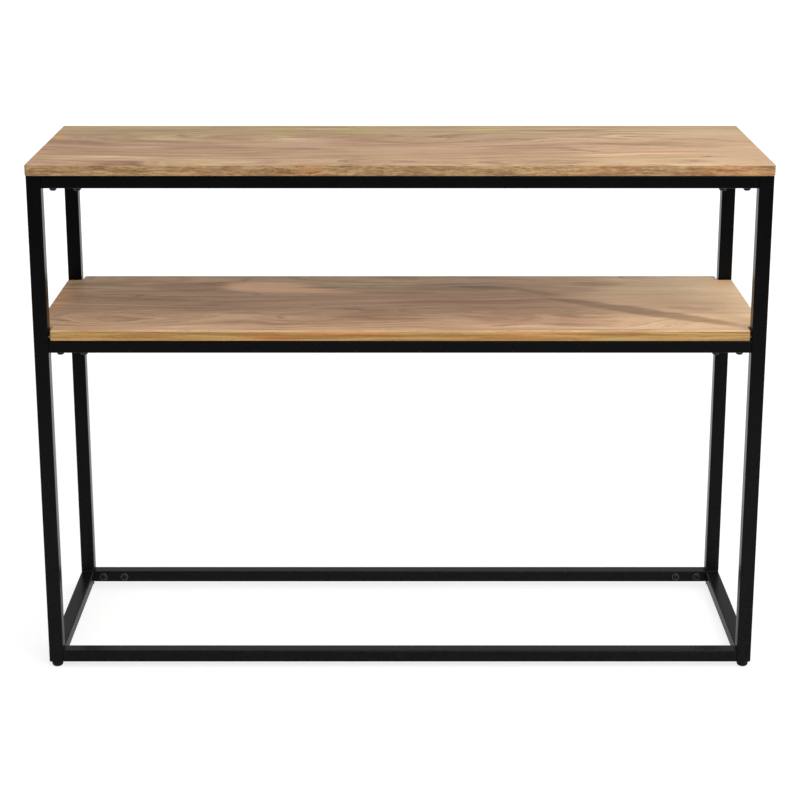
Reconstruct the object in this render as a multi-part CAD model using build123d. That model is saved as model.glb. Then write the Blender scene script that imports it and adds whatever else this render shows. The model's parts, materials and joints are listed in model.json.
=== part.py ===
from build123d import *
import os

# A narrow console table that stands free, with a wood top and one wood shelf on a steel frame.
# Two welded side frames of tube are joined by six long rails. Each rail end slides over a
# steel tongue welded to the leg, and two bolts clamp the rail's wall to that tongue. Wood
# screws come up through the cross rails, and each leg stands on a foot that screws in and out.
#
# Millimetres. +X runs along the table, the front faces -Y, +Z is up, and the origin is on the
# floor under the middle of the table.

# ---------------------------------------------------------------- driving dimensions

table_length = 1100
table_depth = 350
table_height = 800

top_thickness = 17
top_overhang_x = 1        # wood past the frame at each end
top_overhang_y = 2        # wood past the frame at front and rear
top_corner = 4            # radius of the top's upright corners

shelf_thickness = 16
shelf_top = 548           # height of the shelf's upper face
shelf_corner = 3.5        # radius of the shelf's upright corners
notch_x = 24.5            # the corner notches that clear the legs
notch_y = 27
notch_corner = 3

upper_edge = 2.2          # rounding of the wood's upper edges
lower_edge = 1.0          # rounding of its lower edges

leg_width = 22            # square leg, and the width of every rail
rail_height = 19
wall = 1.5
tube_corner = 2           # outside corner radius of the tubes
rail_gap = 0.2            # between a bolted rail's end and its leg

underside = 10            # floor to the underside of the legs and bottom rails
plate = 2                 # leg caps and the flanges of the foot inserts
plate_edge = 1.2          # rounding of their outer edges

insert_length = 16        # plug of a foot insert, above its flange
insert_fit = 0.1          # its clearance in the leg, on each side
insert_corner = 1

pad_height = 8.8
pad_radius = 8.75
pad_floor_radius = 5      # flat patch that meets the floor
pad_bowl = 4.5            # height at which the rounded underside ends
pad_top_edge = 0.8
stem_radius = 4           # M8 thread
stem_length = 26
stem_sunk = 6             # length of stem moulded into the pad
stem_chamfer = 1
running_clearance = 0.05

bolt_from_leg = (16, 52)  # the two bolts of each rail end, from the leg's face
bolt_radius = 3           # M6 thread
bolt_length = 12
bolt_hole_radius = 3.3
head_radius = 5.25        # M6 button head
head_height = 3.3
head_dome = 2.6
socket_width = 4          # across the flats of the hexagon socket
socket_depth = 2.1
washer_radius = 6.2
washer_hole_radius = 3.2
washer_thickness = 1.6

tongue_length = 66
tongue_thickness = 8
tongue_side_gap = 1.5     # from the rail's inner walls, on each side
tongue_corner = 2

screw_rows = (-110, 0, 110)   # where the wood screws stand along a cross rail
screw_radius = 2
screw_length = 30
screw_tip = 4             # length of its cone
screw_tip_radius = 0.2
screw_hole_radius = 2.3
screw_head_radius = 4
screw_head_height = 2.6
recess_length = 4.4       # cross recess in the screw's head
recess_width = 1.0
recess_depth = 1.4
pilot_radius = screw_radius + running_clearance
pilot_depth = screw_length - rail_height + 1

# ---------------------------------------------------------------- derived places

frame_length = table_length - 2 * top_overhang_x
frame_depth = table_depth - 2 * top_overhang_y
leg_x = frame_length / 2 - leg_width / 2
leg_y = frame_depth / 2 - leg_width / 2
clear_x = leg_x - leg_width / 2       # inner faces of the legs
clear_y = leg_y - leg_width / 2
frame_top = table_height - top_thickness

rail_bottoms = {
    "top": frame_top - rail_height,
    "shelf": shelf_top - shelf_thickness - rail_height,
    "bottom": underside,
}
ends = {"left": -1, "right": 1}
sides = {"front": -1, "rear": 1}
corners = {f"{side}_{end}": (ends[end], sides[side]) for side in sides for end in ends}

# ---------------------------------------------------------------- shapes that repeat


def tube(width, height, length):
    """An open rectangular tube standing on the XY plane."""
    outside = RectangleRounded(width, height, tube_corner)
    inside = RectangleRounded(width - 2 * wall, height - 2 * wall, tube_corner - wall)
    return extrude(outside - inside, length)


def along_x(shape):
    """Lays a shape that stands along Z down along X, with its own X turned to -Z."""
    return Rot(0, 90, 0) * shape


def along_y(shape):
    """Lays a shape that stands along Z down along Y, with its own Y turned to -Z."""
    return Rot(-90, 0, 0) * shape


def cylinder_up(radius, length, bottom=0):
    """An upright cylinder whose lower end is at the height bottom."""
    return Pos(0, 0, bottom) * extrude(Circle(radius), length)


def bolt_planes(level, side, end=None):
    """The planes of a long rail's bolts: on the rail's bolted face, pointing into the rail.

    The top and shelf rails are bolted from below, and the bottom rails from inside the frame.
    """
    bottom = rail_bottoms[level]
    planes = []
    for end_name, end_sign in ends.items():
        if end not in (None, end_name):
            continue
        for distance in bolt_from_leg:
            x = end_sign * (clear_x - distance)
            if level == "bottom":
                origin = (x, sides[side] * clear_y, bottom + rail_height / 2)
                planes.append(Plane(origin=origin, x_dir=(1, 0, 0), z_dir=(0, sides[side], 0)))
            else:
                origin = (x, sides[side] * leg_y, bottom)
                planes.append(Plane(origin=origin, x_dir=(1, 0, 0), z_dir=(0, 0, 1)))
    return planes


def screw_places():
    """Where the wood screws stand, as seen from above."""
    return [(sign * leg_x, y) for sign in ends.values() for y in screw_rows]


def round_wood(panel):
    """Rounds a panel's upper and lower edges."""
    panel = fillet(panel.faces().sort_by(Axis.Z)[-1].edges(), upper_edge)
    return fillet(panel.faces().sort_by(Axis.Z)[0].edges(), lower_edge)


def drill_pilots(panel, underface):
    """Drills the pilot holes of the wood screws up into a panel's underface."""
    for x, y in screw_places():
        panel -= Pos(x, y, 0) * cylinder_up(pilot_radius, pilot_depth, underface)
    return panel


# ---------------------------------------------------------------- wood


def make_tabletop():
    outline = RectangleRounded(table_length, table_depth, top_corner)
    panel = Pos(0, 0, frame_top) * extrude(outline, top_thickness)
    return drill_pilots(round_wood(panel), frame_top)


def on_shelf_rim(vertex):
    """Whether a corner of the shelf's outline lies on its outer rectangle, not inside a notch."""
    from_end = abs(abs(vertex.X) - frame_length / 2)
    from_side = abs(abs(vertex.Y) - frame_depth / 2)
    return min(from_end, from_side) < shelf_corner / 10


def make_shelf():
    """The shelf reaches the frame's outer faces, with a notch at each corner for the leg."""
    outline = Rectangle(frame_length, frame_depth)
    for end_sign, side_sign in corners.values():
        x = end_sign * (frame_length - notch_x) / 2
        y = side_sign * (frame_depth - notch_y) / 2
        outline -= Pos(x, y) * Rectangle(notch_x, notch_y)
    outline = fillet([v for v in outline.vertices() if not on_shelf_rim(v)], notch_corner)
    outline = fillet([v for v in outline.vertices() if on_shelf_rim(v)], shelf_corner)
    underface = shelf_top - shelf_thickness
    panel = Pos(0, 0, underface) * extrude(outline, shelf_thickness)
    return drill_pilots(round_wood(panel), underface)


# ---------------------------------------------------------------- steel frame


def make_leg(end_sign, side_sign):
    bottom = underside + plate
    leg = tube(leg_width, leg_width, frame_top - plate - bottom)
    return Pos(end_sign * leg_x, side_sign * leg_y, bottom) * leg


def make_leg_cap(end_sign, side_sign):
    """The plate welded on a leg's open top, with its upper edges ground round."""
    cap = extrude(RectangleRounded(leg_width, leg_width, tube_corner), plate)
    cap = fillet(cap.faces().sort_by(Axis.Z)[-1].edges(), plate_edge)
    return Pos(end_sign * leg_x, side_sign * leg_y, frame_top - plate) * cap


def make_cross_rail(level, end_sign):
    """A rail welded between a front and a rear leg, drilled where wood screws pass."""
    bottom = rail_bottoms[level]
    rail = along_y(tube(leg_width, rail_height, 2 * clear_y))
    rail = Pos(end_sign * leg_x, -clear_y, bottom + rail_height / 2) * rail
    if level != "bottom":
        for y in screw_rows:
            rail -= Pos(end_sign * leg_x, y, 0) * cylinder_up(screw_hole_radius, rail_height, bottom)
    return rail


def make_long_rail(level, side):
    """A rail bolted between the two side frames, drilled for its four bolts."""
    length = 2 * (clear_x - rail_gap)
    rail = along_x(tube(rail_height, leg_width, length))
    rail = Pos(-length / 2, sides[side] * leg_y, rail_bottoms[level] + rail_height / 2) * rail
    for plane in bolt_planes(level, side):
        rail -= plane * cylinder_up(bolt_hole_radius, wall)
    return rail


def make_tongue(level, side, end):
    """The tapped bar welded to a leg inside the end of a long rail, against its bolted wall."""
    across = rail_height if level == "bottom" else leg_width
    width = across - 2 * wall - 2 * tongue_side_gap
    bar = extrude(RectangleRounded(tongue_length, width, tongue_corner), tongue_thickness)
    first, second = bolt_planes(level, side, end)
    middle = ends[end] * (clear_x - tongue_length / 2)
    seat = Plane(origin=(middle, first.origin.Y, first.origin.Z), x_dir=(1, 0, 0), z_dir=first.z_dir)
    tongue = seat * (Pos(0, 0, wall) * bar)
    for plane in (first, second):
        tongue -= plane * cylinder_up(bolt_radius + running_clearance, tongue_thickness, wall)
    return tongue


# ---------------------------------------------------------------- fasteners


def make_bolt():
    """A button-head bolt pointing up, with the washer's place left between head and Z = 0."""
    shank = cylinder_up(bolt_radius, bolt_length, -washer_thickness)
    head = cylinder_up(head_radius, head_height)
    head = fillet(head.faces().sort_by(Axis.Z)[0].edges(), head_dome)
    head -= extrude(RegularPolygon(socket_width / 2, 6, major_radius=False), socket_depth)
    return Pos(0, 0, -washer_thickness - head_height) * head + shank


def make_washer():
    ring = Circle(washer_radius) - Circle(washer_hole_radius)
    return Pos(0, 0, -washer_thickness) * extrude(ring, washer_thickness)


def make_screw():
    """A pan-head wood screw pointing up, with its head under Z = 0."""
    shank = cylinder_up(screw_radius, screw_length - screw_tip)
    upright = (Align.CENTER, Align.CENTER, Align.MIN)
    point = Cone(screw_radius, screw_tip_radius, screw_tip, align=upright)
    point = Pos(0, 0, screw_length - screw_tip) * point
    head = cylinder_up(screw_head_radius, screw_head_height)
    head = fillet(head.faces().sort_by(Axis.Z)[0].edges(), screw_head_height / 2)
    slot = Rectangle(recess_length, recess_width)
    head -= extrude(slot + Rot(0, 0, 90) * slot, recess_depth)
    return Pos(0, 0, -screw_head_height) * head + shank + point


def make_bolts(level):
    bolt = make_bolt()
    return Compound([plane * bolt for side in sides for plane in bolt_planes(level, side)])


def make_washers(level):
    washer = make_washer()
    return Compound([plane * washer for side in sides for plane in bolt_planes(level, side)])


def make_screws(level):
    screw = make_screw()
    return Compound([Pos(x, y, rail_bottoms[level]) * screw for x, y in screw_places()])


# ---------------------------------------------------------------- feet


def make_foot_insert(end_sign, side_sign):
    """The plastic plug in a leg's open bottom, threaded through for the foot's stem."""
    flange = extrude(RectangleRounded(leg_width, leg_width, tube_corner), plate)
    flange = fillet(flange.faces().sort_by(Axis.Z)[0].edges(), plate_edge)
    plug_width = leg_width - 2 * wall - 2 * insert_fit
    plug = extrude(RectangleRounded(plug_width, plug_width, insert_corner), insert_length)
    insert = flange + Pos(0, 0, plate) * plug
    insert -= cylinder_up(stem_radius + running_clearance, plate + insert_length)
    return Pos(end_sign * leg_x, side_sign * leg_y, underside) * insert


def make_glide_pad(end_sign, side_sign):
    """The foot itself: a round plastic pad whose underside curves in to a small flat patch."""
    bowl_rim = (pad_radius, pad_bowl)
    bowl = TangentArc(bowl_rim, (pad_floor_radius, 0), tangent=(0, -1))
    outline = bowl + Polyline(
        (pad_floor_radius, 0),
        (0, 0),
        (0, pad_height),
        (pad_radius - pad_top_edge, pad_height),
        (pad_radius, pad_height - pad_top_edge),
        bowl_rim,
    )
    pad = revolve(Plane.XZ * make_face(outline), Axis.Z)
    pad -= cylinder_up(stem_radius + running_clearance, stem_sunk, pad_height - stem_sunk)
    return Pos(end_sign * leg_x, side_sign * leg_y, 0) * pad


def make_glide_stem(end_sign, side_sign):
    stem = cylinder_up(stem_radius, stem_length, pad_height - stem_sunk)
    stem = chamfer(stem.faces().sort_by(Axis.Z)[-1].edges(), stem_chamfer)
    return Pos(end_sign * leg_x, side_sign * leg_y, 0) * stem


# ---------------------------------------------------------------- every node of the table

nodes = {
    "tabletop": make_tabletop(),
    "shelf": make_shelf(),
    "tabletop_screws": make_screws("top"),
    "shelf_screws": make_screws("shelf"),
}

for corner, signs in corners.items():
    nodes[f"leg_{corner}"] = make_leg(*signs)
    nodes[f"leg_cap_{corner}"] = make_leg_cap(*signs)
    nodes[f"foot_insert_{corner}"] = make_foot_insert(*signs)
    nodes[f"glide_pad_{corner}"] = make_glide_pad(*signs)
    nodes[f"glide_stem_{corner}"] = make_glide_stem(*signs)

for level in rail_bottoms:
    nodes[f"bolts_{level}"] = make_bolts(level)
    nodes[f"washers_{level}"] = make_washers(level)
    for end, end_sign in ends.items():
        nodes[f"cross_rail_{level}_{end}"] = make_cross_rail(level, end_sign)
    for side in sides:
        nodes[f"long_rail_{level}_{side}"] = make_long_rail(level, side)
        for end in ends:
            nodes[f"tongue_{level}_{side}_{end}"] = make_tongue(level, side, end)

os.makedirs("parts", exist_ok=True)
for name, shape in nodes.items():
    shape.label = name
    export_step(shape, f"parts/{name}.step")
    print(name, round(shape.volume), "mm3")
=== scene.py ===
# %% [markdown]
# # A console table in wood and black steel
# The table stands on four square legs of steel tube. Rails join the legs at the top, at the shelf
# and just above the floor, and a wood panel lies on each of the two upper sets of rails. The
# packed model already has every tube, panel, bolt and foot at its real size, so this lesson is
# about finishes: wood that was glued up from boards, black powder coat, and the small things
# that a saw, a welder and a thread cutter leave behind.

# %% Load the frame
import json
import math

import bpy
from mathutils import Matrix, Vector


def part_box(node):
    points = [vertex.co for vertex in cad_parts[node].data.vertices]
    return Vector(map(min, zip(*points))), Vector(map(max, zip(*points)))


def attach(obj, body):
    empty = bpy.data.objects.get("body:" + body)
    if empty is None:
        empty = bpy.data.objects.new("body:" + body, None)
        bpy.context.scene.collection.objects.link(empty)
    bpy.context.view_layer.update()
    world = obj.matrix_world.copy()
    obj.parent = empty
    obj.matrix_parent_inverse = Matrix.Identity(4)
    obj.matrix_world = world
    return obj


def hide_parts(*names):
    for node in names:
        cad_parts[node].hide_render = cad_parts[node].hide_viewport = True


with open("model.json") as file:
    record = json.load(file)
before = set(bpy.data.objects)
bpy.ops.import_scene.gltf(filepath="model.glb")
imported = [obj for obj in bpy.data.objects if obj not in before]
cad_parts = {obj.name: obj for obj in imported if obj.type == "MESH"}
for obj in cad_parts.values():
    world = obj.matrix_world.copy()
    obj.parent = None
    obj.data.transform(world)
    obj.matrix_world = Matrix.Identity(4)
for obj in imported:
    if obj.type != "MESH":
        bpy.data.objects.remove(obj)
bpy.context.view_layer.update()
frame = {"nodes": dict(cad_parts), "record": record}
nodes = frame["nodes"]
MM = 0.001

# %% [markdown]
# ## The camera
# The table is seen from half a metre above its top, so that the top, the shelf and the floor
# inside the bottom rails all show. A level camera with its lens shifted down by most of a frame
# would keep the upright legs upright, but the same shift would push the table out of the views
# from other sides. A camera tipped down by fifteen degrees, with a tenth of a frame of shift,
# shows the same faces and leaves those views room.

# %% Place the camera
EYE_DISTANCE = 3.0
EYE_HEIGHT = 1.322
EYE_TILT = math.radians(15.0)
EYE_LENS = 88.2
EYE_SHIFT = -0.1

eye = bpy.data.cameras.new("eye")
eye.lens = EYE_LENS
eye.shift_y = EYE_SHIFT
camera = bpy.data.objects.new("eye", eye)
camera.location = (0, -EYE_DISTANCE, EYE_HEIGHT)
camera.rotation_euler = (math.radians(90) - EYE_TILT, 0, 0)
scene = bpy.context.scene
scene.collection.objects.link(camera)
scene.camera = camera
print("the eye is", EYE_DISTANCE, "metres away and", EYE_HEIGHT, "metres up")

# %% [markdown]
# ## Shader maths
# A finish is easier to read as arithmetic than as a list of nodes. `Signal` wraps one socket and
# gives it the usual operators, and each of them adds a Math node. `Finish` holds a material while
# it is being made, and its `node` method adds any other kind of node.

# %% A socket with operators


class Signal:
    """A value on its way through a finish, with arithmetic that adds Math nodes."""

    def __init__(self, finish, socket):
        self.finish = finish
        self.socket = socket

    def __add__(self, other):
        return self.finish.maths("ADD", self, other)

    def __radd__(self, other):
        return self.finish.maths("ADD", other, self)

    def __sub__(self, other):
        return self.finish.maths("SUBTRACT", self, other)

    def __rsub__(self, other):
        return self.finish.maths("SUBTRACT", other, self)

    def __mul__(self, other):
        return self.finish.maths("MULTIPLY", self, other)

    def __rmul__(self, other):
        return self.finish.maths("MULTIPLY", other, self)

    def __truediv__(self, other):
        return self.finish.maths("DIVIDE", self, other)

    def __gt__(self, other):
        return self.finish.maths("GREATER_THAN", self, other)


print("a signal can be added, subtracted, multiplied, divided and compared")

# %% A finish while it is being made


class Finish:
    """A material being made: its Principled shader and the nodes that feed it."""

    def __init__(self, name, **uniform):
        self.material = bpy.data.materials.new(name)
        self.material.use_nodes = True
        self.tree = self.material.node_tree
        self.shader = self.tree.nodes["Principled BSDF"]
        self.feed(self.shader, {key.replace("_", " "): value for key, value in uniform.items()})
        self.place = self.node("ShaderNodeTexCoord", output="Object")

    def feed(self, node, inputs):
        for key, value in inputs.items():
            if isinstance(value, Signal):
                self.tree.links.new(value.socket, node.inputs[key])
            else:
                node.inputs[key].default_value = value

    def node(self, kind, settings=None, inputs=None, output=0):
        """Adds a node. Settings come first, because they can change which sockets it has."""
        made = self.tree.nodes.new(kind)
        for key, value in (settings or {}).items():
            if key == "stops":
                self.set_stops(made.color_ramp, value)
            else:
                setattr(made, key, value)
        self.feed(made, inputs or {})
        return Signal(self, made.outputs[output])

    @staticmethod
    def set_stops(ramp, stops):
        while len(ramp.elements) < len(stops):
            ramp.elements.new(1.0)
        for element, (position, colour) in zip(ramp.elements, stops):
            element.position = position
            element.color = (*colour, 1.0)

    def maths(self, operation, *values):
        return self.node("ShaderNodeMath", {"operation": operation}, dict(enumerate(values)))

    def axis(self, name):
        """One coordinate of the piece's own place, in metres."""
        return self.node("ShaderNodeSeparateXYZ", None, {"Vector": self.place}, name)

    def vector(self, x, y, z):
        return self.node("ShaderNodeCombineXYZ", None, {"X": x, "Y": y, "Z": z})

    def noise(self, place, scale=1.0, detail=2.0):
        inputs = {"Vector": place, "Scale": scale, "Detail": detail}
        return self.node("ShaderNodeTexNoise", None, inputs, "Fac")

    def band(self, value, low, high, below=0.0, above=1.0):
        """Goes smoothly from below to above as value goes from low to high."""
        inputs = {
            "Value": value,
            "From Min": low,
            "From Max": high,
            "To Min": below,
            "To Max": above,
        }
        return self.node("ShaderNodeMapRange", {"interpolation_type": "SMOOTHSTEP"}, inputs)

    def mix(self, share, first, second, blend="MIX"):
        """Mixes two colours."""
        settings = {"data_type": "RGBA", "blend_type": blend, "clamp_result": False}
        return self.node("ShaderNodeMix", settings, {0: share, 6: first, 7: second}, 2)

    def ramp(self, value, stops):
        return self.node("ShaderNodeValToRGB", {"stops": stops}, {"Fac": value})

    def bump(self, height, distance, strength):
        inputs = {"Height": height, "Distance": distance, "Strength": strength}
        return self.node("ShaderNodeBump", None, inputs)

    def finish(self, **inputs):
        """Joins the last signals to the shader and returns the material."""
        self.feed(self.shader, {key.replace("_", " "): value for key, value in inputs.items()})
        print(self.material.name, "is made of", len(self.tree.nodes), "nodes")
        return self.material


steps_offered = [name for name in vars(Finish) if not name.startswith("_")]
print("a finish offers", ", ".join(steps_offered))

# %% Paint a piece


def paint(piece, material):
    """Gives a piece one material, whatever it had."""
    if not piece.material_slots:
        piece.data.materials.append(material)
    for material_slot in piece.material_slots:
        material_slot.material = material


slot_names = {subpart["material_slot"] for subpart in frame["record"]["subparts"]}
print("there are", len(slot_names), "material slots to paint")

# %% [markdown]
# ## Light and floor
# A large soft lamp hangs over the table, a little to the right, another stands in front, and a
# weaker one shines from each side. The room in front of the table is dim, which is what keeps
# the fronts of the black legs deep, and the room behind it is bright. The floor glows as a light
# table does, so that it stays near white and the shadows on it stay faint, but in front it
# gives the table less of that glow than the eye sees, or the black steel would turn grey.

# %% Light the room
DIM_FRONT = 0.10
BRIGHT_BACK = 0.62
FRONT_ENDS = -0.9
BACK_STARTS = 0.3
TABLE_MIDDLE = Vector((0, 0, 0.45))
scene.view_settings.view_transform = "Standard"

world = bpy.data.worlds.new("studio")
world.use_nodes = True
scene.world = world
sky = world.node_tree.nodes
sky_links = world.node_tree.links
sky.clear()

direction = sky.new("ShaderNodeTexCoord")
parts = sky.new("ShaderNodeSeparateXYZ")
to_back = sky.new("ShaderNodeMapRange")
to_back.inputs["From Min"].default_value = FRONT_ENDS
to_back.inputs["From Max"].default_value = BACK_STARTS
to_back.inputs["To Min"].default_value = DIM_FRONT
to_back.inputs["To Max"].default_value = BRIGHT_BACK
lit = sky.new("ShaderNodeBackground")
seen = sky.new("ShaderNodeBackground")
seen.inputs["Color"].default_value = (1, 1, 1, 1)
rays = sky.new("ShaderNodeLightPath")
either = sky.new("ShaderNodeMixShader")
out = sky.new("ShaderNodeOutputWorld")
sky_links.new(direction.outputs["Generated"], parts.inputs[0])
sky_links.new(parts.outputs["Y"], to_back.inputs["Value"])
sky_links.new(to_back.outputs[0], lit.inputs["Strength"])
sky_links.new(rays.outputs["Is Camera Ray"], either.inputs[0])
sky_links.new(lit.outputs[0], either.inputs[1])
sky_links.new(seen.outputs[0], either.inputs[2])
sky_links.new(either.outputs[0], out.inputs["Surface"])
print("the room gives", DIM_FRONT, "from the front and", BRIGHT_BACK, "from the back")

# %% Hang the lamps


def soft_lamp(name, place, size, power):
    """A rectangular lamp that faces the middle of the table."""
    lamp = bpy.data.lights.new(name, "AREA")
    lamp.shape = "RECTANGLE"
    lamp.size, lamp.size_y = size
    lamp.energy = power
    stand = bpy.data.objects.new(name, lamp)
    stand.location = place
    to_table = TABLE_MIDDLE - Vector(place)
    stand.rotation_euler = to_table.to_track_quat("-Z", "Y").to_euler()
    scene.collection.objects.link(stand)


# Each lamp has a place and a size in metres, and a power in watts.
soft_lamp("overhead", (0.5, -0.2, 2.9), (3.2, 2.2), 44)
soft_lamp("front_key", (0.9, -2.7, 2.3), (2.4, 1.2), 56)
soft_lamp("right_fill", (3.0, -0.9, 1.3), (1.6, 1.8), 26)
soft_lamp("left_fill", (-3.0, -0.9, 1.3), (1.6, 1.8), 14)
print(len(bpy.data.lights), "lamps")

# %% Lay the floor
FLOOR_WIDTH = 24
FLOOR_GREY = (0.34, 0.34, 0.34, 1)
NEAR_GLOW = 0.77
NEAR_REACH = 0.8
FAR_REACH = 3.5
FRONT_GLOW = 0.20
BACK_GLOW = 0.80
FRONT_LINE = -0.2
BACK_LINE = 0.9
bpy.ops.object.select_all(action="DESELECT")
bpy.ops.mesh.primitive_plane_add(size=FLOOR_WIDTH, location=(0, 0, 0))
floor = bpy.context.object
floor.name = "floor"
sweep = Finish(
    "pale_sweep",
    Base_Color=FLOOR_GREY,
    Roughness=0.9,
    Specular_IOR_Level=0.0,
    Emission_Strength=1.0,
)
away_x = sweep.axis("X")
away_y = sweep.axis("Y")
away = sweep.maths("SQRT", away_x * away_x + away_y * away_y)
glow = sweep.band(away, NEAR_REACH, FAR_REACH, NEAR_GLOW, 1.0)
given = sweep.band(away_y, FRONT_LINE, BACK_LINE, FRONT_GLOW, BACK_GLOW)
is_seen = sweep.node("ShaderNodeLightPath", output="Is Camera Ray")
glow = given + is_seen * (glow - given)
paint(floor, sweep.finish(Emission_Color=sweep.vector(glow, glow, glow)))

# %% [markdown]
# ## Black powder coat
# The frame was sprayed with dry powder and baked, which leaves a satin black with a faint
# orange-peel skin about a millimetre across. It is drawn as a very dark paint with a fine bump
# and a slow drift of roughness along the tubes. The black is painted slightly paler towards the
# floor: partly a little dust on the lower part of the table, partly painted light from the glowing
# floor.

# %% Make the powder coat
# Painted light, in part: these make the black paler towards the floor, for a little dust and for the
# floor's glow on the lower legs.
DUST_AND_FLOOR_LIGHT_TOP = 0.72
DUST_AND_FLOOR_LIGHT = (0.0092, 0.0088, 0.0088, 1)
DUST_AND_FLOOR_LIGHT_THIN = 0.6  # the share of the dust that is left where it lies thinnest
DEEP_BLACK = (0.0008, 0.0007, 0.0007)
SOFT_BLACK = (0.0016, 0.0015, 0.0015)
SATIN = 0.27
SATIN_DRIFT = 0.14
PEEL_HEIGHT = 0.14 * MM


def powder_coat(name):
    coat = Finish(name, Specular_IOR_Level=0.11)
    peel = coat.noise(coat.place, scale=650, detail=2.0)
    drift = coat.noise(coat.place, scale=14, detail=3.0)
    # Painted light, in part: paler towards the floor, for dust and for the glow of the floor on the
    # lower legs.
    dust_and_floor_light = coat.band(coat.axis("Z"), 0.0, DUST_AND_FLOOR_LIGHT_TOP, 1.0, 0.0)
    mottle = coat.noise(coat.place, scale=160, detail=3.0)
    black = coat.ramp(drift, [(0.3, DEEP_BLACK), (0.7, SOFT_BLACK)])
    share = dust_and_floor_light * coat.band(mottle, 0.3, 0.7, DUST_AND_FLOOR_LIGHT_THIN, 1.0)
    colour = coat.mix(share, black, DUST_AND_FLOOR_LIGHT)
    return coat.finish(
        Base_Color=colour,
        Roughness=SATIN + (drift - 0.5) * SATIN_DRIFT,
        Normal=coat.bump(peel, PEEL_HEIGHT, 0.6),
    )


black_coat = powder_coat("black_powder_coat")

# %% [markdown]
# ## Small metal and plastic
# The bolts are blackened in hot oxide, which is smoother than the powder coat and catches a
# highlight on each domed head. Their washers are plated and drawn much paler than the heads, so
# that each head stands in a thin pale ring. The wood screws and the stems of the feet are bright zinc,
# which dulls in small patches. The pads and the inserts of the feet are moulded plastic, with the fine
# even texture of a sparked mould.

# %% Blacken the bolts and plate the washers
FINE_GRAIN = 0.02 * MM


def black_oxide(name):
    oxide = Finish(name, Specular_IOR_Level=0.3)
    bloom = oxide.noise(oxide.place, scale=420, detail=3.0)
    colour = oxide.ramp(bloom, [(0.35, (0.004, 0.004, 0.005)), (0.7, (0.010, 0.010, 0.009))])
    return oxide.finish(
        Base_Color=colour,
        Roughness=0.28 + bloom * 0.12,
        Normal=oxide.bump(bloom, FINE_GRAIN, 0.4),
    )


def black_plate(name):
    plate = Finish(name, Metallic=0.55)
    cloud = plate.noise(plate.place, scale=500, detail=3.0)
    colour = plate.ramp(cloud, [(0.35, (0.10, 0.098, 0.096)), (0.7, (0.17, 0.167, 0.162))])
    return plate.finish(
        Base_Color=colour,
        Roughness=0.34 + cloud * 0.16,
        Normal=plate.bump(cloud, FINE_GRAIN, 0.4),
    )


bolt_finish = black_oxide("black_oxide")
washer_finish = black_plate("black_zinc_plate")

# %% Plate the screws and mould the pads
SPANGLE_HEIGHT = 0.01 * MM
SPARK_HEIGHT = 0.03 * MM


def zinc_plate(name):
    zinc = Finish(name, Metallic=1.0)
    spangle = zinc.noise(zinc.place, scale=900, detail=3.0)
    dull = zinc.noise(zinc.place, scale=180, detail=2.0)
    colour = zinc.ramp(dull, [(0.35, (0.42, 0.43, 0.44)), (0.65, (0.62, 0.63, 0.65))])
    return zinc.finish(
        Base_Color=colour,
        Roughness=0.24 + spangle * 0.22,
        Normal=zinc.bump(spangle, SPANGLE_HEIGHT, 0.4),
    )


def moulded_plastic(name):
    plastic = Finish(name, Specular_IOR_Level=0.25)
    spark = plastic.noise(plastic.place, scale=2600, detail=1.0)
    scuff = plastic.noise(plastic.place, scale=220, detail=3.0)
    colour = plastic.ramp(scuff, [(0.4, (0.004, 0.004, 0.004)), (0.75, (0.010, 0.010, 0.010))])
    return plastic.finish(
        Base_Color=colour,
        Roughness=0.46 + scuff * 0.12,
        Normal=plastic.bump(spark, SPARK_HEIGHT, 0.5),
    )


zinc_finish = zinc_plate("zinc_plate")
plastic_finish = moulded_plastic("moulded_black_plastic")

# %% [markdown]
# ## Wood
# Each panel is three boards glued edge to edge, planed, and sealed with a satin lacquer. The
# figure of a board comes from its growth rings: they are nearly cylinders round the heart of the
# tree, and the saw cuts them lengthwise. So the finish works out how far a point is from the
# heart of its board, bends that distance slowly along the board, and draws the streaks along it.
# The same rule then gives arches on the faces, lines on the long edges and arcs on the end
# grain. A streak is asked for by its real length and width, which is easier to judge than a
# noise scale. Every new noise moves on to a layer of its own, so no two of them agree.

# %% Name a colour


def chip(red, green, blue):
    """The linear colour of a paint chip given in the usual 0 to 255 values."""

    def linear(value):
        share = value / 255
        return share / 12.92 if share <= 0.04045 else ((share + 0.055) / 1.055) ** 2.4

    return (linear(red), linear(green), linear(blue))


print("a middle tone of this wood is", [round(part, 3) for part in chip(178, 147, 113)])

# %% Describe the wood
# A bend has a length and a width, and reaches so far from side to side, all in metres.
WANDER = (0.5, 0.11, 0.05)  # the heart of a board wanders sideways
WAVER = (0.09, 0.035, 0.006)  # a single ring wavers
LIFT = (0.55, 0.30, 0.11)  # the heart rises and falls
FRAYED = (0.10, 0.016, 0.024)  # the rim of a patch frays across the board
FINGER = (0.3, 0.0045)  # the length and width of the points in which a mark ends
POINTED = 0.15  # how far an island runs out into such points along the grain
RAGGED = 0.055  # how far the rim of a patch does
FULL_SHARE = 0.55  # the share of a patch's half size that has its full strength
THROUGH = 1000  # a patch goes through the whole thickness of the board
LAYER_STEP = 7.3
BOARD_SHIFTS = (0.0, 3.1, 7.7)  # how far along its tree each board was cut


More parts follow.
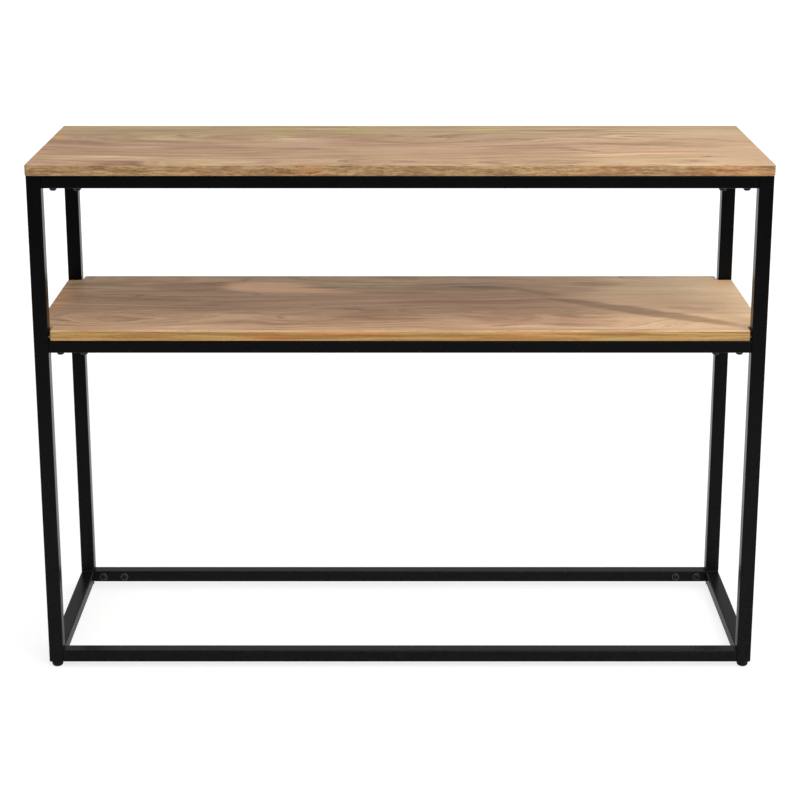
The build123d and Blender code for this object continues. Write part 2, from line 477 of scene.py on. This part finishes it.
class Wood(Finish):
    """Boards lying along X, glued together at seams across Y, counted from the front."""

    def __init__(self, name, box, seams, hearts, seed):
        super().__init__(name)
        self.low, self.high = box
        self.seams = seams
        self.layer = seed
        self.x = self.axis("X")
        self.y = self.axis("Y")
        self.z = self.axis("Z")
        self.steps = [self.y > seam for seam in seams]
        self.along = self.x + self.by_board([seed + shift for shift in BOARD_SHIFTS])
        heart_y = self.by_board([y for y, z in hearts])
        heart_z = self.by_board([z for y, z in hearts])
        wander = self.bend(*WANDER)
        waver = self.bend(*WAVER)
        lift = self.bend(*LIFT)
        across = self.y - heart_y + wander
        up = self.z - heart_z + lift
        self.ring = self.maths("SQRT", across * across + up * up) + waver
        fingers = self.field(*FINGER, detail=3.0) - 0.5
        self.fingered = self.along + fingers * POINTED
        frayed_y = self.y + self.bend(*FRAYED)
        self.ragged = self.vector(self.x + fingers * RAGGED, frayed_y, self.z)

    def by_board(self, values):
        """The number that belongs to the board a point is on."""
        chosen = values[0]
        for step, before, after in zip(self.steps, values, values[1:]):
            chosen = chosen + step * (after - before)
        return chosen

    def field(self, length, width, detail=2.0):
        """Noise with marks of this length and width, straight along the board."""
        self.layer = self.layer + LAYER_STEP
        place = self.vector(self.along / length, self.y / width, self.z / width + self.layer)
        return self.noise(place, detail=detail)

    def bend(self, length, width, reach):
        """A soft shift to either side, by up to half of reach."""
        return (self.field(length, width) - 0.5) * reach

    def grain(self, length, width):
        """Noise with marks of this length and width, which follow the growth rings."""
        self.layer = self.layer + LAYER_STEP
        place = self.vector(self.fingered / length, self.ring / width, self.layer)
        return self.noise(place, detail=3.0)

    def tint(self, colour, factor, share):
        """The colour, with a share of it multiplied by factor."""
        changed = self.mix(1.0, colour, (*factor, 1), "MULTIPLY")
        return self.mix(share, colour, changed)

    def patch(self, centre, half_size, turn):
        """A blotch round centre with a ragged rim: 1 in its middle and 0 outside."""
        inputs = {
            "Vector": self.ragged,
            "Location": (*centre, 0),
            "Rotation": (0, 0, math.radians(turn)),
            "Scale": (*half_size, THROUGH),
        }
        local = self.node("ShaderNodeMapping", {"vector_type": "TEXTURE"}, inputs)
        reach = self.node("ShaderNodeVectorMath", {"operation": "LENGTH"}, {0: local}, "Value")
        return self.band(reach, FULL_SHARE, 1.0, 1.0, 0.0)


print("a board's heart wanders by up to", WANDER[2] / 2, "metres")

# %% [markdown]
# ## The face of a board
# A board's tone is mixed from broad, middle and fine streaks. On top of that come the things
# that make this wood lively: islands of pink, olive and brown with crisp edges, which end in
# points along the grain, and short dark and pale dashes. The yearly rings are faint, but their
# thin lines tie the rest together. A tint is a factor for red, green and blue, so that it works
# on a dark streak as well as on a pale one.

# %% Name the tints
BROWN = (0.80, 0.72, 0.68)
MAUVE = (0.92, 0.83, 0.85)
OLIVE = (0.99, 1.05, 0.78)
PINK = (1.14, 1.01, 0.99)
# This pale tint serves for pale streaks in the wood, and also for the painted sheen that makes the
# right ends of both panels paler.
PALE_AND_SHEEN = (1.17, 1.20, 1.22)
# Painted light: this cream tint makes the shelf's right end paler.
PAINTED_LIGHT_CREAM = (1.09, 1.13, 1.12)
# Painted shadow: this grey tint darkens the shelf along its rear edge, where the tabletop's shadow
# falls.
PAINTED_SHADOW_GREY = (0.78, 0.80, 0.80)
UMBER = (0.58, 0.53, 0.48)
ROSE = (1.58, 1.42, 1.38)
AMBER = (1.16, 0.92, 0.66)
KNOT = (0.30, 0.24, 0.20)
print("the rosy tint lifts red, green and blue by", ROSE)

# %% Gather several patches into one mask


def gather(wood, places):
    """One mask for several patches: each has a centre, a half size, a turn and a strength."""
    mask = 0.0
    for centre, half_size, turn, share in places:
        mask = wood.maths("MAXIMUM", mask, wood.patch(centre, half_size, turn) * share)
    return mask


print("a patch is full up to", FULL_SHARE, "of its half size")

# %% Mix the streaks
# A streak has a length and a width in metres, and then its share of the tone.
BROAD_STREAK = (0.42, 0.020)
BROAD_SHARE = 0.38
MIDDLE_STREAK = (0.13, 0.0060)
MIDDLE_SHARE = 0.42
FINE_STREAK = (0.06, 0.0014)
FINE_SHARE = 0.20
CALM_TONE = 0.56


def mix_streaks(wood, calm_places):
    """The tone of the streaks, the finest of them alone, and where they are calm."""
    fine = wood.grain(*FINE_STREAK)
    broad = wood.grain(*BROAD_STREAK)
    middle = wood.grain(*MIDDLE_STREAK)
    streaks = broad * BROAD_SHARE + middle * MIDDLE_SHARE + fine * FINE_SHARE
    calm = gather(wood, calm_places)
    return streaks + calm * (CALM_TONE - streaks), fine, calm


def face_colour(wood, palette, board_tints, streaks):
    colour = wood.ramp(streaks, palette)
    chosen = (*board_tints[0], 1)
    for step, board_tint in zip(wood.steps, board_tints[1:]):
        chosen = wood.mix(step, chosen, (*board_tint, 1))
    return wood.mix(1.0, colour, chosen, "MULTIPLY")


print("the finest streaks are", FINE_STREAK[1], "metres wide")

# %% Scatter the islands and draw the rings
# Each mark has a tint, a length and a width in metres, how rare it is, and how strong.
MARKS = [
    (MAUVE, 0.40, 0.0090, 0.56, 0.6),
    (OLIVE, 0.30, 0.0070, 0.58, 0.4),
    (BROWN, 0.17, 0.0050, 0.56, 0.8),
    (PALE_AND_SHEEN, 0.14, 0.0040, 0.57, 0.7),
    (UMBER, 0.07, 0.0030, 0.62, 0.7),
    (PALE_AND_SHEEN, 0.06, 0.0022, 0.61, 0.5),
    (UMBER, 0.030, 0.0013, 0.62, 0.5),
]
MARK_RIM = 0.035
RING_SPACING = 6 * MM
RING_UNEVEN = (0.5, 0.05, 3.0)  # here the reach is in years
RING_LINE = (0.70, 1.0)  # the part of a year's wave that shows as a line
RING_GAP = (0.12, 0.010)
RING_GAP_TONES = (0.42, 0.62)


def add_islands(wood, colour, lively):
    for factor, length, width, rarity, share in MARKS:
        mask = wood.band(wood.grain(length, width), rarity, rarity + MARK_RIM)
        colour = wood.tint(colour, factor, mask * share * lively)
    return colour


def ring_lines(wood):
    """Thin lines where one year's wood ends and the next begins."""
    turn = (wood.ring / RING_SPACING + wood.bend(*RING_UNEVEN)) * math.tau
    line = wood.band(wood.maths("SINE", turn), *RING_LINE)
    return line * wood.band(wood.grain(*RING_GAP), *RING_GAP_TONES)


print(len(MARKS), "kinds of mark, the smallest", MARKS[-1][2], "metres wide")

# %% Set the patches
DARK_TONES = (0.38, 0.56)
BROKEN_SHARE = 0.75  # what is left of a patch where a dark streak crosses it


def add_patches(wood, colour, patches, streaks):
    """Patches that stand where they stand on this table, broken up by the streaks."""
    broken = wood.band(streaks, *DARK_TONES, BROKEN_SHARE, 1.0)
    for factor, places in patches:
        colour = wood.tint(colour, factor, gather(wood, places) * broken)
    return colour


print("a dark streak leaves a patch", BROKEN_SHARE, "of its strength")

# %% [markdown]
# ## The edges and ends of a board
# The front and rear edges show the same rings from the side, as thin wavy lines, and they are
# deeper and warmer in colour than the faces. The ends show cut pores and are darker still. All
# three are told apart by how far a point is from the panel's outside.

# %% Find the edges and ends
UPPER_ROUNDING = (2.2 * MM, 0.7 * MM)
LOWER_ROUNDING = (0.1 * MM, 0.9 * MM)
END_ROUNDING = (1.2 * MM, 0.4 * MM)


def edge_masks(wood):
    """How much a point belongs to the upright edges, and to the end grain."""
    top_starts, top_ends = [wood.high.z - inset for inset in UPPER_ROUNDING]
    base_starts, base_ends = [wood.low.z + inset for inset in LOWER_ROUNDING]
    end_starts, end_ends = [wood.high.x - inset for inset in END_ROUNDING]
    below_top = wood.band(wood.z, top_starts, top_ends, 1.0, 0.0)
    above_base = wood.band(wood.z, base_starts, base_ends)
    end = wood.band(wood.maths("ABSOLUTE", wood.x), end_starts, end_ends)
    return below_top * above_base, end


print("an edge is full", round(UPPER_ROUNDING[0] / MM, 1), "mm below the face")

# %% Colour the edges
# Each mark has a length and a width. Its tones say where its noise begins to show and is full.
EDGE_CURL = (0.035, 0.02)
EDGE_FLECK = (0.009, 0.0022)
EDGE_DEPTH = 0.05
WARM_STRETCH = (0.13, 0.012)
WARM_TONES = (0.48, 0.60)
SPECK_CLOUD = (0.10, 0.05)
CLOUD_TONES = (0.46, 0.56)
SPECK = (0.0052, 0.0016)
SPECK_TONES = (0.58, 0.68)


def edge_colour(wood, palette, warm, line_length, line_width, curl_size, fleck_share, speckle):
    """Wavy lines with flecks between them, warm stretches, and clouds of dark specks."""
    height = wood.z + wood.bend(*EDGE_CURL, curl_size)
    place = wood.vector(wood.along / line_length, wood.y / EDGE_DEPTH, height / line_width)
    fleck = wood.field(*EDGE_FLECK, detail=3.0)
    lines = wood.noise(place, detail=3.0) * (1 - fleck_share) + fleck * fleck_share
    colour = wood.ramp(lines, palette)
    drift = wood.band(wood.field(*WARM_STRETCH), *WARM_TONES)
    colour = wood.tint(colour, warm, drift)
    cloud = wood.band(wood.field(*SPECK_CLOUD), *CLOUD_TONES)
    specks = wood.band(wood.field(*SPECK, detail=1.0), *SPECK_TONES)
    return wood.tint(colour, UMBER, specks * cloud * speckle)


print("a dark speck is about", SPECK[0], "metres long")

# %% [markdown]
# ## Fibres, pores and glue lines
# Close up, a planed board is never smooth: the fibres show as fine lines, and the pores, cut
# lengthwise, as short dark scratches a fraction of a millimetre wide. Both shade the colour and
# press a little into the lacquer. The glue line between two boards is a thin dark thread.

# %% Draw the fibres, pores and glue lines
FIBRE = (0.05, 0.0011)
FIBRE_SHADE = 0.28
PORE = (0.008, 0.0006)
PORE_TONES = (0.64, 0.72)
PORE_SHADE = 0.30
END_SHADE = 0.24
CUT_PORES_PER_METRE = 1300
CUT_PORE_TONES = (0.52, 0.68)
CUT_PORE_SHADE = 0.3
GLUE_CORE = 0.15 * MM
GLUE_EDGE = 0.5 * MM


def cut_fibres(wood, end):
    """The fibres, the pores, and how much both darken the wood."""
    fibre = wood.field(*FIBRE)
    pore = wood.band(wood.field(*PORE, detail=1.0), *PORE_TONES)
    pits = wood.noise(wood.place, scale=CUT_PORES_PER_METRE, detail=1.0)
    cut_pore = wood.band(pits, *CUT_PORE_TONES)
    along = 1.0 + (fibre - 0.5) * FIBRE_SHADE - pore * PORE_SHADE
    across = 1.0 - end * (END_SHADE + cut_pore * CUT_PORE_SHADE)
    return fibre, pore, along * across


def glue_lines(wood):
    glue = 0.0
    for seam in wood.seams:
        gap = wood.maths("ABSOLUTE", wood.y - seam)
        glue = glue + wood.band(gap, GLUE_CORE, GLUE_EDGE, 1.0, 0.0)
    return glue


print("a glue line is", 2 * GLUE_EDGE, "metres wide, and a pore", PORE[0], "metres long")

# %% Assemble a panel's finish
RING_SHARE = 0.45
EDGE_SHARE = 0.9
GLUE_SHARE = 0.5
RAISED = 0.5
SUNKEN = 0.8
LACQUER_ROUGHNESS = 0.50
SHEEN_CHANGE = 0.2
LACQUER_RELIEF = 0.08 * MM


def lacquered_wood(name, box, seams, hearts, seed, look):
    wood = Wood(name, box, seams, hearts, seed)
    streaks, fine, calm = mix_streaks(wood, look["calm"])
    colour = face_colour(wood, look["palette"], look["boards"], streaks)
    colour = add_islands(wood, colour, 1.0 - calm)
    colour = wood.tint(colour, UMBER, ring_lines(wood) * (1.0 - calm) * RING_SHARE)
    colour = add_patches(wood, colour, look["patches"], streaks)
    edge, end = edge_masks(wood)
    colour = wood.mix(edge * EDGE_SHARE, colour, edge_colour(wood, **look["edge"]))
    fibre, pore, shade = cut_fibres(wood, end)
    colour = wood.mix(1.0, colour, wood.vector(shade, shade, shade), "MULTIPLY")
    glue = glue_lines(wood)
    colour = wood.tint(colour, KNOT, glue * GLUE_SHARE)
    relief = fibre * RAISED + fine * RAISED - pore * SUNKEN - glue * SUNKEN
    change = (fine - 0.5) * SHEEN_CHANGE - (streaks - 0.5) * SHEEN_CHANGE + end * SHEEN_CHANGE
    return wood.finish(
        Base_Color=colour,
        Roughness=change + LACQUER_ROUGHNESS,
        Normal=wood.bump(relief, LACQUER_RELIEF, 0.5),
    )


print("the lacquer's relief is", round(LACQUER_RELIEF / MM, 2), "mm deep")

# %% [markdown]
# ## The two panels
# A look says what is particular to one panel. The palette runs from its darkest streak to its
# palest, and each board has its own tint, from front to rear. Where a board is calm it shows
# little figure. A patch has a tint, and for each place a centre and a half size in metres, a
# turn in degrees and a strength; a few patches are painted light and shade. The seams are places
# across the panel, and each board's heart is given across and up, so a heart far below the board makes
# wide arches. The top is fairly even, and its right end is painted paler as a painted sheen. The shelf
# is cut from livelier boards: a dark band runs across its right half at a slant, and a rosy lens lies
# in its rear board. Its right end is painted paler too, as painted light, and a painted shadow of the
# top darkens it along its rear edge.

# %% Choose the tabletop's boards
top_look = {
    "palette": [
        (0.37, chip(140, 107, 76)),
        (0.46, chip(164, 131, 98)),
        (0.54, chip(178, 147, 113)),
        (0.64, chip(196, 166, 130)),
    ],
    "boards": [(1.05, 1.02, 0.98), (1.0, 0.96, 0.96), (0.94, 0.98, 0.90)],
    "calm": [((0.56, 0.0), (0.16, 0.30), 0, 0.4)],
    "patches": [
        # The large pale patch at the right end is a painted sheen; the small one at the front left is
        # a pale streak.
        (PALE_AND_SHEEN, [((0.56, 0.0), (0.42, 0.50), 0, 1.0), ((-0.44, -0.125), (0.10, 0.016), 0, 0.9)]),
        (MAUVE, [((-0.50, -0.03), (0.08, 0.07), 0, 0.9), ((-0.075, 0.022), (0.05, 0.03), 0, 1.0)]),
        (
            OLIVE,
            [
                ((-0.184, 0.105), (0.04, 0.05), 0, 1.0),
                ((-0.075, 0.105), (0.055, 0.045), 0, 1.2),
                ((0.131, 0.135), (0.04, 0.026), 0, 1.2),
                ((-0.30, -0.14), (0.10, 0.02), 0, 0.7),
            ],
        ),
        (
            BROWN,
            [
                ((-0.30, -0.030), (0.10, 0.017), 0, 1.0),
                ((-0.158, -0.045), (0.05, 0.011), 0, 1.0),
                ((-0.005, 0.018), (0.075, 0.010), -20, 1.0),
                ((0.20, -0.030), (0.085, 0.024), 0, 1.0),
                ((0.275, 0.122), (0.07, 0.013), 0, 0.9),
                ((0.46, -0.02), (0.06, 0.012), 0, 0.8),
            ],
        ),
        (UMBER, [((0.275, -0.056), (0.055, 0.009), -32, 0.8), ((-0.346, 0.08), (0.012, 0.006), 0, 1)]),
        (PINK, [((0.32, -0.05), (0.06, 0.022), -30, 0.7), ((0.40, -0.075), (0.06, 0.03), -12, 0.6)]),
        (AMBER, [((-0.545, 0.07), (0.02, 0.05), 0, 0.9), ((-0.548, -0.09), (0.012, 0.03), 0, 0.9)]),
        (KNOT, [((0.458, -0.107), (0.008, 0.006), 0, 0.8)]),
    ],
    "edge": {
        "palette": [
            (0.38, chip(128, 95, 60)),
            (0.50, chip(168, 132, 88)),
            (0.60, chip(196, 162, 116)),
        ],
        "warm": (1.08, 0.86, 0.72),
        "line_length": 0.055,
        "line_width": 3.4 * MM,
        "curl_size": 12 * MM,
        "fleck_share": 0.38,
        "speckle": 0.85,
    },
}
print(len(top_look["patches"]), "kinds of patch on the top")

# %% Glue up the tabletop
top_wood = lacquered_wood(
    "lacquered_tabletop",
    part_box("tabletop"),
    seams=(-0.055, 0.056),
    hearts=((-0.16, 0.745), (0.055, 0.72), (0.07, 0.74)),
    seed=2.0,
    look=top_look,
)

# %% Choose the shelf's boards
shelf_look = {
    "palette": [
        (0.36, chip(170, 133, 100)),
        (0.45, chip(195, 158, 125)),
        (0.55, chip(208, 172, 137)),
        (0.66, chip(224, 190, 156)),
    ],
    "boards": [(1.11, 1.08, 1.04), (0.90, 0.88, 0.86), (0.88, 0.90, 0.87)],
    "calm": [((0.52, 0.0), (0.32, 0.24), 0, 0.6), ((-0.20, 0.090), (0.12, 0.040), -4, 0.8)],
    "patches": [
        # The pale patches at the right end are painted light; the thin one near the middle is a pale
        # streak.
        (PALE_AND_SHEEN, [((0.56, 0.0), (0.36, 0.34), 0, 1.0), ((-0.06, -0.078), (0.06, 0.006), 0, 1.0)]),
        (PALE_AND_SHEEN, [((0.50, 0.02), (0.28, 0.13), 0, 1.0), ((0.28, -0.13), (0.30, 0.06), 0, 0.5)]),
        (PAINTED_LIGHT_CREAM, [((0.52, 0.0), (0.34, 0.30), 0, 1.0)]),
        # Painted shadow of the tabletop along the rear of the shelf.
        (PAINTED_SHADOW_GREY, [((0.0, 0.168), (0.62, 0.022), 0, 1.0), ((-0.02, 0.12), (0.40, 0.05), 0, 0.5)]),
        (
            BROWN,
            [
                ((-0.345, 0.100), (0.09, 0.034), 0, 1.0),
                ((0.085, 0.095), (0.09, 0.034), 0, 0.9),
                ((0.015, 0.059), (0.07, 0.009), 0, 0.9),
                ((0.325, 0.118), (0.055, 0.018), 0, 1.0),
                ((0.45, -0.045), (0.05, 0.014), -12, 0.8),
                ((-0.46, 0.03), (0.09, 0.04), 0, 0.5),
            ],
        ),
        (MAUVE, [((0.290, 0.078), (0.04, 0.024), 0, 1.2), ((-0.297, 0.105), (0.022, 0.03), 0, 1.2)]),
        (ROSE, [((-0.215, 0.095), (0.105, 0.042), -6, 0.9), ((-0.14, 0.070), (0.09, 0.020), -6, 0.9)]),
        (
            UMBER,
            [
                ((0.145, 0.092), (0.075, 0.011), -7, 1.0),
                ((0.225, 0.060), (0.05, 0.012), -30, 0.7),
                ((-0.130, 0.093), (0.045, 0.009), 0, 0.8),
                ((0.382, -0.064), (0.215, 0.024), -31, 1.0),
            ],
        ),
        (KNOT, [((-0.420, 0.042), (0.006, 0.011), 0, 0.6), ((-0.227, 0.049), (0.008, 0.006), 0, 0.6)]),
        (AMBER, [((-0.538, 0.0), (0.016, 0.12), 0, 0.7), ((0.52, 0.12), (0.03, 0.03), 0, 0.35)]),
    ],
    "edge": {
        "palette": [
            (0.36, chip(160, 102, 50)),
            (0.46, chip(178, 136, 66)),
            (0.54, chip(188, 158, 86)),
            (0.64, chip(202, 166, 112)),
        ],
        "warm": (1.12, 0.88, 0.78),
        "line_length": 0.16,
        "line_width": 3.6 * MM,
        "curl_size": 3 * MM,
        "fleck_share": 0.10,
        "speckle": 0.35,
    },
}
print(len(shelf_look["patches"]), "kinds of patch on the shelf")

# %% Glue up the shelf
shelf_wood = lacquered_wood(
    "lacquered_shelf",
    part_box("shelf"),
    seams=(-0.073, 0.049),
    hearts=((-0.09, 0.48), (-0.06, 0.50), (0.17, 0.50)),
    seed=11.0,
    look=shelf_look,
)

# %% [markdown]
# ## Who wears what
# The record names a material slot for every node, so one dictionary from slot to finish dresses
# the whole table. The washers share a slot with the bolts but are plated, so they come after.

# %% Give every node its finish
finishes = {
    "top_wood": top_wood,
    "shelf_wood": shelf_wood,
    "black_steel": black_coat,
    "black_bolts": bolt_finish,
    "zinc_screws": zinc_finish,
    "black_plastic": plastic_finish,
}
for subpart in frame["record"]["subparts"]:
    paint(nodes[subpart["node"]], finishes[subpart["material_slot"]])
for level in ("top", "shelf", "bottom"):
    paint(nodes[f"washers_{level}"], washer_finish)
print(len(finishes) + 1, "finishes on", len(nodes), "nodes")

# %% [markdown]
# ## Weld beads
# The cross rails are welded to the legs. On the flush sides the weld is ground away, but above
# and below a rail a bead stays in the corner, under the powder coat. A bead is a row of
# overlapping puddles. One is modelled as a round face that is drawn out in many short steps and
# made a little wider and narrower as it goes, and then it is copied to each corner.

# %% Size a bead
BEAD_RADIUS = 2.1 * MM
BEAD_PUDDLES = 9
PUDDLE_SHAPE = (0.86, 1.0, 1.04, 0.98)
BEAD_SIDES = 14
BEAD_TIP = 0.1  # the width of a tip, as a share of the middle
BEAD_FULLNESS = 6  # how far its full width reaches towards the tips
BEAD_CREASE = math.radians(50)
BEAD_INSET = 2 * MM
rail_low, rail_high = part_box("cross_rail_shelf_left")
bead_length = (rail_high.x - rail_low.x) - BEAD_INSET


def bead_width(share):
    """A bead's width at a share of its length: full in the middle and round at the ends."""
    rounded = math.sqrt(max(0.0, 1 - abs(2 * share - 1) ** BEAD_FULLNESS))
    return rounded * (1 - BEAD_TIP) + BEAD_TIP


print("a bead is", round(bead_length, 4), "metres long")

# %% Model one bead
bpy.ops.object.select_all(action="DESELECT")
bpy.ops.mesh.primitive_circle_add(
    vertices=BEAD_SIDES,
    radius=BEAD_RADIUS * bead_width(0),
    fill_type="NGON",
    location=(-bead_length / 2, 0, 0),
    rotation=(0, math.radians(90), 0),
)
bead = bpy.context.object
bpy.ops.object.transform_apply(location=True, rotation=True, scale=True)
bpy.ops.object.mode_set(mode="EDIT")
bpy.ops.mesh.select_all(action="SELECT")
steps = BEAD_PUDDLES * len(PUDDLE_SHAPE)
width = bead_width(0)
for step in range(1, steps + 1):
    wanted = bead_width(step / steps) * PUDDLE_SHAPE[step % len(PUDDLE_SHAPE)]
    forward = {"value": (bead_length / steps, 0, 0)}
    bpy.ops.mesh.extrude_region_move(TRANSFORM_OT_translate=forward)
    growth = wanted / width
    bpy.ops.transform.resize(value=(1, growth, growth), center_override=(0, 0, 0))
    width = wanted
bpy.ops.mesh.select_all(action="SELECT")
bpy.ops.mesh.normals_make_consistent(inside=False)
bpy.ops.object.mode_set(mode="OBJECT")
bpy.ops.object.shade_smooth_by_angle(angle=BEAD_CREASE)
print("a bead has", len(bead.data.polygons), "faces")

# %% Put a bead in each welded corner
WELDED = {"top": ["below"], "shelf": ["below", "above"], "bottom": ["above"]}


def lay_bead(name, place):
    """A copy of the bead, with its own mesh, at that place."""
    laid = bead.copy()
    laid.data = bead.data.copy()
    laid.data.transform(Matrix.Translation(place))
    laid.name = name
    scene.collection.objects.link(laid)
    paint(laid, finishes["black_steel"])
    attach(laid, "table")


bead_count = 0
for level, rows in WELDED.items():
    for hand in ("left", "right"):
        low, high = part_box(f"cross_rail_{level}_{hand}")
        middle_x = (low.x + high.x) / 2
        for row in rows:
            height = high.z if row == "above" else low.z
            for side, face_y in (("front", low.y), ("rear", high.y)):
                lay_bead(f"weld_{level}_{row}_{side}_{hand}", Vector((middle_x, face_y, height)))
                bead_count = bead_count + 1
bpy.data.objects.remove(bead)
print(bead_count, "weld beads")

# %% [markdown]
# ## Threaded stems
# Each foot screws into its leg on a coarse metric thread. One turn of the thread is an edge line
# of three pieces, flank, crest and flank, and the Screw modifier sweeps it up round the stem. The
# raw ends of the sweep are uneven, so the stem is swept too long and cut square at both ends.

# %% Cut the threads
PITCH = 1.25 * MM
THREAD_DEPTH = 0.62 * MM
CREST_SHARE = 0.3
TURN_STEPS = 24
SAME_POINT = 0.0005 * MM


def thread_line(crest):
    """One turn of the thread in outline: a plane drawn in to a trapezoid, without its root."""
    bpy.ops.object.select_all(action="DESELECT")
    bpy.ops.mesh.primitive_plane_add(size=PITCH, rotation=(math.radians(90), 0, 0))
    stem = bpy.context.object
    bpy.ops.object.transform_apply(location=True, rotation=True, scale=True)
    for corner in stem.data.vertices:
        outer = corner.co.x > 0
        corner.co.x = crest if outer else crest - THREAD_DEPTH
        corner.co.z = corner.co.z * (CREST_SHARE if outer else 1.0)
    bpy.ops.object.mode_set(mode="EDIT")
    bpy.ops.mesh.delete(type="ONLY_FACE")
    bpy.ops.mesh.select_mode(type="EDGE")
    bpy.ops.mesh.select_all(action="DESELECT")
    bpy.ops.object.mode_set(mode="OBJECT")
    for edge in stem.data.edges:
        ends = [stem.data.vertices[index].co.x for index in edge.vertices]
        edge.select = max(ends) < crest
    bpy.ops.object.mode_set(mode="EDIT")
    bpy.ops.mesh.delete(type="EDGE")
    bpy.ops.object.mode_set(mode="OBJECT")
    return stem


def sweep_thread(stem, length):
    """Sweeps the outline up, with a spare turn at each end."""
    sweep_up = stem.modifiers.new("sweep_up", "SCREW")
    sweep_up.axis = "Z"
    sweep_up.angle = math.tau
    sweep_up.screw_offset = PITCH
    sweep_up.iterations = math.ceil(length / PITCH) + 2
    sweep_up.steps = TURN_STEPS
    sweep_up.render_steps = TURN_STEPS
    sweep_up.use_merge_vertices = True
    bpy.ops.object.modifier_apply(modifier="sweep_up")


def cut_square(bottom, top):
    """Cuts the stem being worked on level at both ends and closes it."""
    bpy.ops.object.mode_set(mode="EDIT")
    for height, upward in ((bottom, False), (top, True)):
        bpy.ops.mesh.select_all(action="SELECT")
        bpy.ops.mesh.bisect(
            plane_co=(0, 0, height),
            plane_no=(0, 0, 1),
            threshold=SAME_POINT,
            use_fill=True,
            clear_inner=not upward,
            clear_outer=upward,
        )
    bpy.ops.mesh.select_all(action="SELECT")
    bpy.ops.mesh.remove_doubles(threshold=SAME_POINT)
    bpy.ops.mesh.normals_make_consistent(inside=False)
    bpy.ops.object.mode_set(mode="OBJECT")


print("the thread is", THREAD_DEPTH, "metres deep and climbs", PITCH, "metres a turn")

# %% Fit a stem to each foot


def threaded_stem(foot):
    """A threaded stem that fills the box of that foot's plain one."""
    low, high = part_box(f"glide_stem_{foot}")
    centre = (low + high) / 2
    stem = thread_line(crest=(high.x - low.x) / 2)
    sweep_thread(stem, high.z - low.z)
    stem.data.transform(Matrix.Translation((centre.x, centre.y, low.z - PITCH)))
    cut_square(low.z, high.z)
    stem.name = f"threaded_stem_{foot}"
    paint(stem, finishes["zinc_screws"])
    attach(stem, f"foot_{foot}")
    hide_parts(f"glide_stem_{foot}")
    return stem


for side in ("front", "rear"):
    for hand in ("left", "right"):
        stem = threaded_stem(f"{side}_{hand}")
        print(stem.name, "has", len(stem.data.polygons), "faces")

# %% [markdown] ## Sizes The threaded stems are cut to the height of the plain stems they replace.
# Sizes Nothing made here may stand out of the solid model's box.
